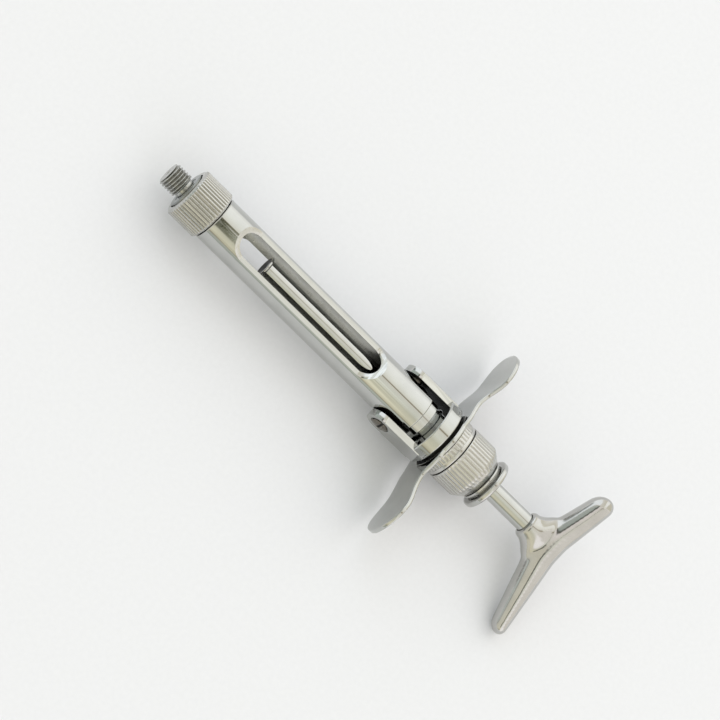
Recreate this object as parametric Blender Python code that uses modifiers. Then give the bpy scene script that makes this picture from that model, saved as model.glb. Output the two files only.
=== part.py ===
"""Aspirating dental syringe: breech-hinged barrel, fork, finger grip, spring guide and palm plunger.

World frame: +X towards the needle, +Z up, origin under the middle of the object on the surface it
lies on. Every station below is a distance along the syringe axis from the two pivot screws.
"""
import math

import bmesh
import bpy
from mathutils import Matrix, Vector

MM = 0.001
GAP = 0.3 * MM                      # clearance between neighbouring pieces
STEPS = 32                          # sides of a turned piece
SMALL_STEPS = 20                    # sides of a small turned piece

# ---- overall lay-out -------------------------------------------------------------------------
STUD_TIP = 72.45 * MM               # foremost point
HANDLE_ROLL = math.radians(-17)     # the free-turning handle droops until its long arm rests

# ---- barrel ----------------------------------------------------------------------------------
BARREL_R = 5.6 * MM
BORE_R = 4.75 * MM                  # takes a dental cartridge of 8.65 mm diameter
BARREL_FRONT = 58.5 * MM
BARREL_REAR = -4.9 * MM
SPIGOT_R = 5.0 * MM
FRONT_SPIGOT_END = 63.2 * MM
FRONT_BORE_R = 4.05 * MM            # takes the cartridge's metal cap
CAP_SEAT = 59.6 * MM
REAR_SPIGOT_END = -7.0 * MM
WINDOW_FRONT = 51.4 * MM
WINDOW_REAR = 9.75 * MM
WINDOW_HALF = 3.1 * MM
WINDOW_FLAT = 3.7 * MM              # height of the milled flat above the axis
LIP_RUN = 1.45 * MM                 # the milled lip runs this far past each window end
MILL_R = 5.4 * MM                   # radius of the mill that cuts the flats
NOTCH_FRONT = -2.9 * MM             # flat sides of the rear end, which clear the fork's arms
NOTCH_HALF = 4.3 * MM
EDGE = 0.25 * MM                    # chamfer of the barrel's outer edges

# ---- needle adaptor and collar ---------------------------------------------------------------
STUD_R = 3.0 * MM                   # M6 x 0.75 needle thread
STUD_NECK_R = 2.42 * MM
STUD_NECK = 1.1 * MM
NEEDLE_BORE_R = 0.6 * MM
ADAPTOR_FACE = 67.2 * MM
ADAPTOR_R = 4.55 * MM
ADAPTOR_FLANGE_R = 5.1 * MM
ADAPTOR_FLANGE = (63.5 * MM, 65.3 * MM)
NIB_R = 1.6 * MM                    # presses the cartridge's rubber diaphragm
NIB_REAR = 61.2 * MM
RECESS = 0.15 * MM                  # depth of the ring recess around the stud
COLLAR = (58.85 * MM, 66.8 * MM)
COLLAR_R = 6.27 * MM
COLLAR_BORE_R = 5.4 * MM
COLLAR_LIP = 65.6 * MM
COLLAR_HOLE_R = 4.85 * MM

# ---- fork and pivot --------------------------------------------------------------------------
ARM_INNER = 5.85 * MM
ARM_OUTER = 7.5 * MM
ARM_HALF = 3.5 * MM
FORK_R = 8.05 * MM
FORK_FRONT = -8.5 * MM
FORK_BACK = -11.95 * MM
FORK_HOLE_R = 4.75 * MM
FORK_STEP = -10.0 * MM
SHANK_R = 6.4 * MM
SHANK_BORE_R = 5.6 * MM
SHANK_END = -22.6 * MM
PIVOT_HOLE_R = 1.8 * MM
SCREW_R = 1.5 * MM
SCREW_HEAD_R = 2.1 * MM
SCREW_SEAT = 6.9 * MM
SCREW_TOP = 7.95 * MM
SCREW_TIP = 4.95 * MM
SLOT_WIDTH = 0.6 * MM
SLOT_DEPTH = 0.4 * MM
SLOT_LEFT = math.radians(-84)       # how far each screw's slot is turned from the axis
SLOT_RIGHT = math.radians(-50)

# ---- finger grip, lock ring and rear cap -----------------------------------------------------
GRIP_FRONT = -12.75 * MM
GRIP_THICK = 1.15 * MM
WING_RELIEF = 0.06 * MM             # the wings are this much thinner on each face than the disc
GRIP_DISC_R = 8.15 * MM
WING_SPAN = 26.5 * MM
WING_WAIST = 5.5 * MM
WING_PADDLE = 6.8 * MM
WING_SHOULDER = 1.8 * MM            # extra half height of the plate next to the disc
SHOULDER_RUN = (5.0 * MM, 11.0 * MM)    # where that extra height fades out
PADDLE_RUN = (12.5 * MM, 19.5 * MM)     # where the waist widens into the paddle
WING_SWEEP = 1.5 * MM               # how far the wings bend back, and over which run
SWEEP_RUN = (10.0 * MM, 18.5 * MM)
WING_LIFT = 0.5 * MM                # how far their ends turn forward again
LIFT_RUN = (19.0 * MM, 27.0 * MM)
PADDLE_POWER = 2.2                  # bluntness of the paddle's end
CLAMP_BORE_R = 6.7 * MM             # threads of the ring and cap run on the fork's shank
LOCK_RING = (-16.85 * MM, -14.2 * MM)
LOCK_RING_R = 7.22 * MM
LOCK_RING_STEP = 0.95 * MM          # width of the smooth shoulder
SHOULDER_DROP = 0.12 * MM
NUT_EDGE = 0.15 * MM                # chamfer of the ring's and the cap's front edges
CAP_FRONT = -17.15 * MM
CAP_REAR = -25.9 * MM
CAP_R = 7.25 * MM
CAP_CONE = -23.55 * MM
CAP_END_R = 5.55 * MM
CAP_WALL = -23.3 * MM

# ---- spring guide and release spool ----------------------------------------------------------
NOSE_R = 4.4 * MM
NOSE_FRONT = -4.6 * MM
NOSE_FLAT = 3.55 * MM
NOSE_FLAT_REAR = -9.2 * MM
NOSE_EDGE = 0.5 * MM
GUIDE_FLANGE = (-11.9 * MM, -10.3 * MM)
GUIDE_FLANGE_R = 5.3 * MM
TAIL_R = 3.25 * MM
TAIL_END = -28.5 * MM
GUIDE_BORE_R = 2.65 * MM
SEAL_GROOVE = (-11.0 * MM, -9.6 * MM)
SEAL_GROOVE_R = 3.85 * MM
SPOOL = (-28.95 * MM, -26.2 * MM)
SPOOL_BORE_R = TAIL_R + GAP
SPOOL_FLANGE_R = 5.35 * MM
SPOOL_GROOVE_R = 4.7 * MM
SPOOL_RIM_R = 6.5 * MM
SPRING_WIRE_R = 0.42 * MM
SPRING_R = 4.45 * MM
SPRING_TURNS = 5

# ---- plunger ---------------------------------------------------------------------------------
ROD_R = 2.33 * MM
ROD_FRONT = 42.25 * MM
ROD_EDGE = 0.12 * MM
ROD_HOLE_R = 1.3 * MM               # drilled hole that takes the tip's stem
ROD_HOLE_END = 39.1 * MM
ROD_REAR = -50.2 * MM
TIP_FACE = 43.0 * MM
TIP_R = 2.9 * MM
TIP_DISC = 0.45 * MM
TIP_EDGE = 0.1 * MM
TIP_STEM_R = 1.0 * MM
TIP_STEM_END = 39.6 * MM
SEAL_R = 0.42 * MM
HUB_FRONT = -41.0 * MM
HUB_SECTIONS = (                    # distance behind the hub's front, half width, half thickness
    (0, 3.1 * MM, 3.1 * MM), (0.3 * MM, 3.4 * MM, 3.4 * MM), (1.4 * MM, 3.45 * MM, 3.4 * MM),
    (2.4 * MM, 4.0 * MM, 3.4 * MM), (3.4 * MM, 4.9 * MM, 3.4 * MM),
    (4.4 * MM, 5.6 * MM, 3.3 * MM), (6.5 * MM, 5.6 * MM, 2.6 * MM))
BAR_FRONT = -45.2 * MM              # front and rear faces of the palm bar on the axis
BAR_REAR = -52.5 * MM
FRONT_SLOPE = (0.300, 0.345)        # how fast the short and the long arm's front face sweeps back
REAR_SLOPE = (0.150, 0.155)
FRONT_STRAIGHT = 3.5 * MM           # the faces run straight this far before they sweep back
REAR_STRAIGHT = 2.0 * MM
LONG_ARM = 22.7 * MM
SHORT_ARM = 17.3 * MM
BAR_THICK = 3.3 * MM                # half thickness on the axis, and how much of it goes by the end
BAR_THIN = 0.9 * MM

CHROME = (0.80, 0.80, 0.76, 1)
BRUSHED = (0.62, 0.61, 0.58, 1)
STEEL = (0.50, 0.48, 0.44, 1)
RUBBER = (0.03, 0.03, 0.03, 1)


# ---- helpers ---------------------------------------------------------------------------------
def clear_scene():
    for old in list(bpy.data.objects):
        bpy.data.objects.remove(old, do_unlink=True)


def new_collection(name):
    group = bpy.data.collections.new(name)
    bpy.context.scene.collection.children.link(group)
    return group


def new_material(name, colour, roughness, metallic=1.0):
    material = bpy.data.materials.new(name)
    material.use_nodes = True
    shader = material.node_tree.nodes["Principled BSDF"]
    shader.inputs["Base Color"].default_value = colour
    shader.inputs["Roughness"].default_value = roughness
    shader.inputs["Metallic"].default_value = metallic
    material.diffuse_color = colour
    return material


def new_empty(name, location, parent=None, roll=0.0):
    empty = bpy.data.objects.new(name, None)
    empty.location = location
    empty.rotation_euler = (roll, 0, 0)
    empty.parent = parent
    parts.objects.link(empty)
    return empty


def finish(obj, material=None, parent=None, group=None):
    """Put an object in its collection, under its parent, with its material and smooth shading."""
    for holder in list(obj.users_collection):
        holder.objects.unlink(obj)
    (group or parts).objects.link(obj)
    obj.parent = parent
    if material:
        obj.data.materials.clear()
        obj.data.materials.append(material)
    if group is cutters:
        obj.hide_render = True
        obj.display_type = "WIRE"
    else:
        obj.data.shade_smooth()
        obj.data.set_sharp_from_angle(angle=math.radians(35))
    return obj


def turned(name, profile, material, parent, hollow=True, steps=STEPS, group=None):
    """A lathe-turned piece. The profile is (station, radius), front to back down its outer side."""
    mesh = bpy.data.meshes.new(name)
    count = len(profile)
    edges = [(i, i + 1) for i in range(count - 1)]
    if hollow:
        edges.append((count - 1, 0))
    mesh.from_pydata([(radius, 0, station) for station, radius in profile], edges, [])
    obj = bpy.data.objects.new(name, mesh)
    obj.rotation_euler = (0, math.pi / 2, 0)
    screw = obj.modifiers.new("Turn", "SCREW")
    screw.angle = math.tau
    screw.steps = steps
    screw.render_steps = steps
    screw.use_merge_vertices = True
    screw.merge_threshold = 0.00001
    screw.use_smooth_shade = True
    return finish(obj, material, parent, group)


def loft(name, rings, material, parent, group=None):
    """A closed solid through rings of equal point count, capped at both ends."""
    shape = bmesh.new()
    rows = [[shape.verts.new(point) for point in ring] for ring in rings]
    count = len(rings[0])
    for low, high in zip(rows, rows[1:]):
        for i in range(count):
            shape.faces.new((low[i], low[(i + 1) % count], high[(i + 1) % count], high[i]))
    shape.faces.new(rows[0])
    shape.faces.new(rows[-1])
    bmesh.ops.recalc_face_normals(shape, faces=shape.faces)
    mesh = bpy.data.meshes.new(name)
    shape.to_mesh(mesh)
    shape.free()
    return finish(bpy.data.objects.new(name, mesh), material, parent, group)


def box(name, low, high, parent, roll=0.0):
    """A box cutter between two corners, turned about its own centre by roll."""
    shape = bmesh.new()
    size = Vector(high) - Vector(low)
    bmesh.ops.create_cube(shape, size=1, matrix=Matrix.Diagonal((*size, 1)))
    mesh = bpy.data.meshes.new(name)
    shape.to_mesh(mesh)
    shape.free()
    obj = bpy.data.objects.new(name, mesh)
    obj.location = (Vector(low) + Vector(high)) / 2
    obj.rotation_euler = (0, roll, 0)
    return finish(obj, None, parent, cutters)


def combine(obj, other, operation):
    step = obj.modifiers.new(other.name, "BOOLEAN")
    step.operation = operation
    step.solver = "EXACT"
    step.object = other


def stadium(front, back, half, height, arc=8):
    """A slot outline with round ends in the X-Y plane at a height."""
    points = []
    for centre, start in ((front - half, -math.pi / 2), (back + half, math.pi / 2)):
        for i in range(arc + 1):
            angle = start + math.pi * i / arc
            points.append((centre + half * math.cos(angle), half * math.sin(angle), height))
    return points


def eased(value, run):
    """A smooth step from 0 to 1 over a run between two values."""
    start, end = run
    blend = max(0.0, min(1.0, (value - start) / (end - start)))
    return blend * blend * (3 - 2 * blend)


# ---- pieces ----------------------------------------------------------------------------------
def make_barrel(material, parent):
    """Tube with two opposed viewing windows, a front spigot for the collar and a stepped rear."""
    profile = [(FRONT_SPIGOT_END, SPIGOT_R), (BARREL_FRONT, SPIGOT_R),
               (BARREL_FRONT, BARREL_R - EDGE), (BARREL_FRONT - EDGE, BARREL_R),
               (BARREL_REAR + EDGE, BARREL_R), (BARREL_REAR, BARREL_R - EDGE),
               (BARREL_REAR, SPIGOT_R + 0.1 * MM), (REAR_SPIGOT_END, SPIGOT_R),
               (REAR_SPIGOT_END, BORE_R), (CAP_SEAT, BORE_R),
               (CAP_SEAT, FRONT_BORE_R), (FRONT_SPIGOT_END, FRONT_BORE_R)]
    barrel = turned("barrel", profile, material, parent, steps=40)
    beyond = BARREL_R + 2 * MM
    for name, side in (("top", 1), ("bottom", -1)):
        rings = milled_flat(side, beyond)
        combine(barrel, loft("flat_" + name, rings, None, parent, cutters), "DIFFERENCE")
    rings = [stadium(WINDOW_FRONT, WINDOW_REAR, WINDOW_HALF, z) for z in (-beyond, beyond)]
    combine(barrel, loft("window_cutter", rings, None, parent, cutters), "DIFFERENCE")
    for name, side in (("left", 1), ("right", -1)):
        low, high = sorted((side * NOTCH_HALF, side * beyond))
        notch = box("notch_" + name, (REAR_SPIGOT_END - 2 * MM, low, -beyond),
                    (NOTCH_FRONT, high, beyond), parent)
        combine(barrel, notch, "DIFFERENCE")
    combine(barrel, pivot_hole(parent), "DIFFERENCE")
    return barrel


def milled_flat(side, beyond):
    """The flat along one window, cut by a round mill so that it rises in a curve at each end."""
    above = 0.3 * MM
    full = math.sqrt(2 * MILL_R * (BARREL_R + above - WINDOW_FLAT))
    lip = math.sqrt(2 * MILL_R * (BARREL_R - WINDOW_FLAT))
    rear = WINDOW_REAR - LIP_RUN + lip
    front = WINDOW_FRONT + LIP_RUN - lip
    steps = 7
    outline = []
    for i in range(steps + 1):
        reach = full * (1 - i / steps)
        outline.append((rear - reach, WINDOW_FLAT + reach ** 2 / (2 * MILL_R)))
    for i in range(steps + 1):
        reach = full * i / steps
        outline.append((front + reach, WINDOW_FLAT + reach ** 2 / (2 * MILL_R)))
    return [[(x, y, side * z) for x, z in outline] for y in (-beyond, beyond)]


def pivot_hole(parent):
    """One cross hole for both pivot screws."""
    reach = 12 * MM
    hole = turned("pivot_hole", [(reach, 0), (reach, PIVOT_HOLE_R), (-reach, PIVOT_HOLE_R),
                                 (-reach, 0)], None, parent, False, SMALL_STEPS, cutters)
    hole.rotation_euler = (math.pi / 2, 0, 0)
    return hole


def make_adaptor(material, parent):
    """Needle adaptor: threaded stud, boss, flange and the nib that presses the diaphragm."""
    rear, front = ADAPTOR_FLANGE
    neck_end = ADAPTOR_FACE + STUD_NECK
    recess = ADAPTOR_FACE - RECESS
    profile = [(STUD_TIP, STUD_R - 0.45 * MM), (STUD_TIP - 0.45 * MM, STUD_R), (neck_end, STUD_R),
               (neck_end - 0.3 * MM, STUD_NECK_R), (recess, STUD_NECK_R),
               (recess, STUD_R + 0.15 * MM), (ADAPTOR_FACE, STUD_R + 0.15 * MM),
               (ADAPTOR_FACE, ADAPTOR_R - 0.2 * MM), (ADAPTOR_FACE - 0.2 * MM, ADAPTOR_R),
               (front, ADAPTOR_R), (front, ADAPTOR_FLANGE_R), (rear, ADAPTOR_FLANGE_R),
               (rear, NIB_R + 0.4 * MM), (NIB_REAR, NIB_R), (NIB_REAR, NEEDLE_BORE_R),
               (STUD_TIP, NEEDLE_BORE_R)]
    return turned("needle_adaptor", profile, material, parent)


def make_collar(material, parent):
    """Knurled collar that clamps the adaptor to the front of the barrel."""
    rear, front = COLLAR
    chamfer = 0.5 * MM
    profile = [(front, COLLAR_R - chamfer), (front - chamfer, COLLAR_R),
               (rear + 0.3 * MM, COLLAR_R), (rear, COLLAR_R - 0.3 * MM), (rear, COLLAR_BORE_R),
               (COLLAR_LIP, COLLAR_BORE_R), (COLLAR_LIP, COLLAR_HOLE_R), (front, COLLAR_HOLE_R)]
    return turned("front_collar", profile, material, parent, steps=40)


def make_fork(material, parent):
    """Ring with two arms that carry the barrel, and a hollow threaded shank behind."""
    profile = [(FORK_FRONT, FORK_R - 0.3 * MM), (FORK_FRONT - 0.3 * MM, FORK_R),
               (FORK_BACK + 0.3 * MM, FORK_R), (FORK_BACK, FORK_R - 0.3 * MM),
               (FORK_BACK, SHANK_R), (SHANK_END, SHANK_R), (SHANK_END, SHANK_BORE_R),
               (FORK_STEP, SHANK_BORE_R), (FORK_STEP, FORK_HOLE_R), (FORK_FRONT, FORK_HOLE_R)]
    fork = turned("fork", profile, material, parent, steps=40)
    for name, side in (("arm_left", 1), ("arm_right", -1)):
        inner, outer = side * ARM_INNER, side * ARM_OUTER
        outline = stadium(ARM_HALF, FORK_STEP - ARM_HALF, ARM_HALF, 0, 10)
        cut_back = [(max(x, FORK_STEP - 0.4 * MM), y) for x, y, _ in outline]
        rings = [[(x, level, z) for x, z in cut_back] for level in (inner, outer)]
        combine(fork, loft(name, rings, None, parent, cutters), "UNION")
        flat = sorted((outer, side * (FORK_R + 2 * MM)))
        combine(fork, box("flat_" + name, (FORK_BACK - 2 * MM, flat[0], -12 * MM),
                          (FORK_FRONT + 14 * MM, flat[1], 12 * MM), parent), "DIFFERENCE")
        seat = turned("seat_" + name, [(side * ARM_OUTER + 3 * MM, 0),
                                       (side * ARM_OUTER + 3 * MM, SCREW_HEAD_R + GAP),
                                       (side * ARM_OUTER - 3 * MM, SCREW_HEAD_R + GAP),
                                       (side * ARM_OUTER - 3 * MM, 0)],
                      None, parent, False, SMALL_STEPS, cutters)
        seat.rotation_euler = (-math.pi / 2, 0, 0)
        seat.location.y = side * (SCREW_SEAT + 3 * MM - ARM_OUTER)
        combine(fork, seat, "DIFFERENCE")
    combine(fork, bpy.data.objects["pivot_hole"], "DIFFERENCE")
    return fork


def make_screw(name, side, slot_turn, material, parent):
    """Slotted pivot screw with a slightly domed head, its plain end running in the barrel wall."""
    head_low = SCREW_SEAT + GAP
    profile = [(SCREW_TOP, 0), (SCREW_TOP - 0.05 * MM, SCREW_HEAD_R * 0.6),
               (SCREW_TOP - 0.25 * MM, SCREW_HEAD_R), (head_low, SCREW_HEAD_R),
               (head_low, SCREW_R), (SCREW_TIP, SCREW_R), (SCREW_TIP, 0)]
    screw = turned(name, profile, material, parent, False, SMALL_STEPS)
    screw.rotation_euler = (-side * math.pi / 2, 0, 0)
    low, high = sorted((side * (SCREW_TOP - SLOT_DEPTH), side * (SCREW_TOP + 1 * MM)))
    slot = box("slot_" + name, (-4 * MM, low, -SLOT_WIDTH / 2), (4 * MM, high, SLOT_WIDTH / 2),
               parent, slot_turn)
    combine(screw, slot, "DIFFERENCE")
    return screw


def wing_half(y):
    """Half the height of the finger plate at a distance from the axis."""
    reach = abs(y)
    half = WING_WAIST + (WING_PADDLE - WING_WAIST) * eased(reach, PADDLE_RUN)
    half += WING_SHOULDER * (1 - eased(reach, SHOULDER_RUN))
    tip = WING_SPAN - WING_PADDLE
    if reach > tip:
        along = min(1.0, (reach - tip) / WING_PADDLE)
        half *= math.sqrt(max(0.0, 1 - along ** PADDLE_POWER))
    return max(half, 0.5 * MM)


def wing_offset(y):
    """How far back the finger plate bends at a distance from the axis."""
    reach = abs(y)
    return WING_LIFT * eased(reach, LIFT_RUN) - WING_SWEEP * eased(reach, SWEEP_RUN)


def make_grip(material, parent):
    """Finger plate: a disc with two gull-winged paddles, clamped against the fork."""
    middle = GRIP_FRONT - GRIP_THICK / 2
    half_thick = GRIP_THICK / 2 - WING_RELIEF
    corner = 0.35 * MM
    stations = 32
    rings = []
    for i in range(stations + 1):
        y = -WING_SPAN * math.cos(math.pi * i / stations)
        x = middle + wing_offset(y)
        half = wing_half(y)
        rings.append([(x + half_thick, y, half - corner), (x + half_thick - corner, y, half),
                      (x - half_thick + corner, y, half), (x - half_thick, y, half - corner),
                      (x - half_thick, y, corner - half), (x - half_thick + corner, y, -half),
                      (x + half_thick - corner, y, -half), (x + half_thick, y, corner - half)])
    grip = loft("finger_grip", rings, material, parent)
    rim = 0.3 * MM
    disc = turned("grip_disc", [(GRIP_FRONT, 0), (GRIP_FRONT, GRIP_DISC_R - rim),
                                (GRIP_FRONT - rim, GRIP_DISC_R),
                                (GRIP_FRONT - GRIP_THICK + rim, GRIP_DISC_R),
                                (GRIP_FRONT - GRIP_THICK, GRIP_DISC_R - rim),
                                (GRIP_FRONT - GRIP_THICK, 0)], None, parent, False, 40, cutters)
    combine(grip, disc, "UNION")
    reach = 5 * MM
    hole = turned("grip_hole", [(GRIP_FRONT + reach, 0), (GRIP_FRONT + reach, CLAMP_BORE_R),
                                (GRIP_FRONT - reach, CLAMP_BORE_R), (GRIP_FRONT - reach, 0)],
                  None, parent, False, STEPS, cutters)
    combine(grip, hole, "DIFFERENCE")
    return grip


def make_lock_ring(material, parent):
    """Ring nut with a short knurl in front and a smooth shoulder behind."""
    rear, front = LOCK_RING
    step = rear + LOCK_RING_STEP
    shoulder = LOCK_RING_R - SHOULDER_DROP
    profile = [(front, LOCK_RING_R - NUT_EDGE), (front - NUT_EDGE, LOCK_RING_R),
               (step, LOCK_RING_R), (step, shoulder), (rear, shoulder), (rear, CLAMP_BORE_R),
               (front, CLAMP_BORE_R)]
    return turned("grip_lock_ring", profile, material, parent)


def make_rear_cap(material, parent):
    """Knurled cap with a conical end that closes the spring housing."""
    hole = TAIL_R + GAP
    profile = [(CAP_FRONT, CAP_R - NUT_EDGE), (CAP_FRONT - NUT_EDGE, CAP_R), (CAP_CONE, CAP_R),
               (CAP_REAR, CAP_END_R), (CAP_REAR, hole), (CAP_WALL, hole),
               (CAP_WALL, CLAMP_BORE_R), (CAP_FRONT, CLAMP_BORE_R)]
    return turned("rear_cap", profile, material, parent)


def make_guide(material, parent):
    """Sliding sleeve whose nose locks the barrel in line; the rod runs through it."""
    flange_rear, flange_front = GUIDE_FLANGE
    groove_rear, groove_front = SEAL_GROOVE
    profile = [(NOSE_FRONT, NOSE_R - NOSE_EDGE), (NOSE_FRONT - NOSE_EDGE, NOSE_R),
               (flange_front, NOSE_R), (flange_front, GUIDE_FLANGE_R),
               (flange_rear, GUIDE_FLANGE_R), (flange_rear, TAIL_R), (TAIL_END, TAIL_R),
               (TAIL_END, GUIDE_BORE_R), (groove_rear, GUIDE_BORE_R),
               (groove_rear, SEAL_GROOVE_R), (groove_front, SEAL_GROOVE_R),
               (groove_front, GUIDE_BORE_R), (NOSE_FRONT, GUIDE_BORE_R)]
    guide = turned("guide_sleeve", profile, material, parent, steps=28)
    for side in (1, -1):
        low, high = sorted((side * NOSE_FLAT, side * 8 * MM))
        cut = box("nose_flat_%d" % (side + 1), (NOSE_FLAT_REAR, low, -8 * MM),
                  (NOSE_FRONT + 2 * MM, high, 8 * MM), parent)
        combine(guide, cut, "DIFFERENCE")
    return guide


def make_spool(material, parent):
    """Release spool on the tail of the guide, pulled back to free the barrel."""
    rear, front = SPOOL
    profile = [(front, SPOOL_FLANGE_R), (front - 0.5 * MM, SPOOL_FLANGE_R),
               (front - 0.6 * MM, SPOOL_GROOVE_R), (front - 0.9 * MM, SPOOL_GROOVE_R),
               (front - 1.1 * MM, SPOOL_RIM_R - 0.4 * MM), (front - 1.6 * MM, SPOOL_RIM_R),
               (rear + 0.6 * MM, SPOOL_RIM_R), (rear, SPOOL_RIM_R - 0.8 * MM),
               (rear, SPOOL_BORE_R), (front, SPOOL_BORE_R)]
    return turned("release_spool", profile, material, parent)


def make_spring(material, parent):
    """Compression spring between the guide's flange and the cap's rear wall."""
    front = GUIDE_FLANGE[0] - GAP - SPRING_WIRE_R
    back = CAP_WALL + GAP + SPRING_WIRE_R
    per_turn = 14
    count = SPRING_TURNS * per_turn
    curve = bpy.data.curves.new("return_spring", "CURVE")
    curve.dimensions = "3D"
    curve.bevel_depth = SPRING_WIRE_R
    curve.bevel_resolution = 1
    curve.use_fill_caps = True
    line = curve.splines.new("POLY")
    line.points.add(count)
    for i, point in enumerate(line.points):
        angle = math.tau * i / per_turn
        x = front + (back - front) * i / count
        point.co = (x, SPRING_R * math.cos(angle), SPRING_R * math.sin(angle), 1)
    obj = bpy.data.objects.new("return_spring", curve)
    obj.parent = parent
    curve.materials.append(material)
    parts.objects.link(obj)
    return obj


def make_seal(material, parent):
    """O-ring that grips the rod inside the guide."""
    ring_r = GUIDE_BORE_R + SEAL_R
    centre = sum(SEAL_GROOVE) / 2
    profile = []
    for i in range(10):
        angle = math.pi / 2 - math.tau * i / 10
        profile.append((centre + SEAL_R * math.sin(angle), ring_r + SEAL_R * math.cos(angle)))
    return turned("rod_seal", profile, material, parent, steps=SMALL_STEPS)


def make_rod(material, parent):
    """Plunger rod, drilled in front for the tip."""
    profile = [(ROD_FRONT, ROD_R - ROD_EDGE), (ROD_FRONT - ROD_EDGE, ROD_R), (ROD_REAR, ROD_R),
               (ROD_REAR, 0), (ROD_HOLE_END, 0), (ROD_HOLE_END, ROD_HOLE_R),
               (ROD_FRONT, ROD_HOLE_R)]
    return turned("plunger_rod", profile, material, parent, steps=28)


def make_tip(material, parent):
    """Tip disc that pushes the cartridge's rubber plunger, on a stem that fits in the rod."""
    back = TIP_FACE - TIP_DISC
    profile = [(TIP_FACE, 0), (TIP_FACE, TIP_R - TIP_EDGE), (TIP_FACE - TIP_EDGE, TIP_R),
               (back, TIP_R), (back, TIP_STEM_R), (TIP_STEM_END, TIP_STEM_R), (TIP_STEM_END, 0)]
    return turned("plunger_tip", profile, material, parent, False, SMALL_STEPS)


def handle_section(y):
    """Centre station, half width along the axis and half thickness of the palm bar at y."""
    arm = LONG_ARM if y > 0 else SHORT_ARM
    reach = abs(y)
    front = BAR_FRONT - FRONT_SLOPE[y > 0] * max(0.0, reach - FRONT_STRAIGHT)
    rear = BAR_REAR - REAR_SLOPE[y > 0] * max(0.0, reach - REAR_STRAIGHT)
    half = (front - rear) / 2
    thick = BAR_THICK - BAR_THIN * (reach / arm) ** 2
    past = max(0.0, reach - arm + half) / half
    round_end = max(math.sqrt(max(0.0, 1 - past ** 2)), 0.12)
    return (front + rear) / 2, half * round_end, thick * round_end


def handle_rings():
    """Oval sections of the palm bar from the short arm's end to the long arm's end."""
    rings = []
    stations = 24
    sides = 12
    for i in range(stations + 1):
        blend = (1 - math.cos(math.pi * i / stations)) / 2
        y = -SHORT_ARM + (LONG_ARM + SHORT_ARM) * blend
        x, half, thick = handle_section(y)
        ring = []
        for k in range(sides):
            angle = math.tau * k / sides
            ring.append((x + half * math.cos(angle), y, thick * math.sin(angle)))
        rings.append(ring)
    return rings


def make_handle(rings, material, parent):
    """Palm handle: a swept bar with one longer arm and a hub that the rod screws into."""
    handle = loft("handle", rings, material, parent)
    hub_rings = []
    sides = 28
    for back, width, thick in HUB_SECTIONS:
        ring = []
        for k in range(sides):
            angle = math.tau * k / sides
            ring.append((HUB_FRONT - back, width * math.cos(angle), thick * math.sin(angle)))
        hub_rings.append(ring)
    hub = loft("handle_hub", hub_rings, None, parent, cutters)
    combine(handle, hub, "UNION")
    reach = 3 * MM
    hole = turned("handle_hole", [(HUB_FRONT + reach, 0), (HUB_FRONT + reach, ROD_R + GAP),
                                  (ROD_REAR - GAP, ROD_R + GAP), (ROD_REAR - GAP, 0)],
                  None, parent, False, SMALL_STEPS, cutters)
    combine(handle, hole, "DIFFERENCE")
    return handle


def make_syringe():
    chrome = new_material("polished_chrome", CHROME, 0.12)
    knurled = new_material("knurled_chrome", BRUSHED, 0.28)
    steel = new_material("spring_steel", STEEL, 0.3)
    rubber = new_material("seal_rubber", RUBBER, 0.6, 0.0)
    rings = handle_rings()
    points = [point for ring in rings for point in ring]
    middle = (STUD_TIP + min(x for x, y, z in points)) / 2
    height = -min(y * math.sin(HANDLE_ROLL) + z * math.cos(HANDLE_ROLL) for x, y, z in points)
    axis = new_empty("syringe_axis", (-middle, 0, height))
    adaptor = new_empty("adaptor_slide_axis", (0, 0, 0), axis)
    collar = new_empty("collar_axis", (0, 0, 0), adaptor)
    guide = new_empty("release_axis", (0, 0, 0), axis)
    plunger = new_empty("plunger_axis", (0, 0, 0), guide, HANDLE_ROLL)
    make_barrel(chrome, axis)
    make_adaptor(chrome, adaptor)
    make_collar(knurled, collar)
    make_fork(chrome, axis)
    make_screw("pivot_screw_left", 1, SLOT_LEFT, steel, axis)
    make_screw("pivot_screw_right", -1, SLOT_RIGHT, steel, axis)
    make_grip(chrome, axis)
    make_lock_ring(chrome, axis)
    make_rear_cap(knurled, axis)
    make_guide(chrome, guide)
    make_spool(chrome, guide)
    make_spring(steel, axis)
    make_seal(rubber, guide)
    make_rod(chrome, plunger)
    make_tip(chrome, plunger)
    make_handle(rings, chrome, plunger)


clear_scene()
parts = new_collection("aspirating_dental_syringe")
cutters = new_collection("cutters")
make_syringe()
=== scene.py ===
"""Looks of the aspirating dental syringe: polished chrome pieces on a pale floor in a light tent.

Shapes are written in millimetres in the syringe's own frame: u runs along the axis from the two
pivot screws towards the needle, y is sideways and z is up from the axis. A point of an outline is
(u, radius), and a third number is the radius of that corner where it isn't the outline's own.
"""
import math

import bmesh
import bpy
from mathutils import Matrix, Vector

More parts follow.
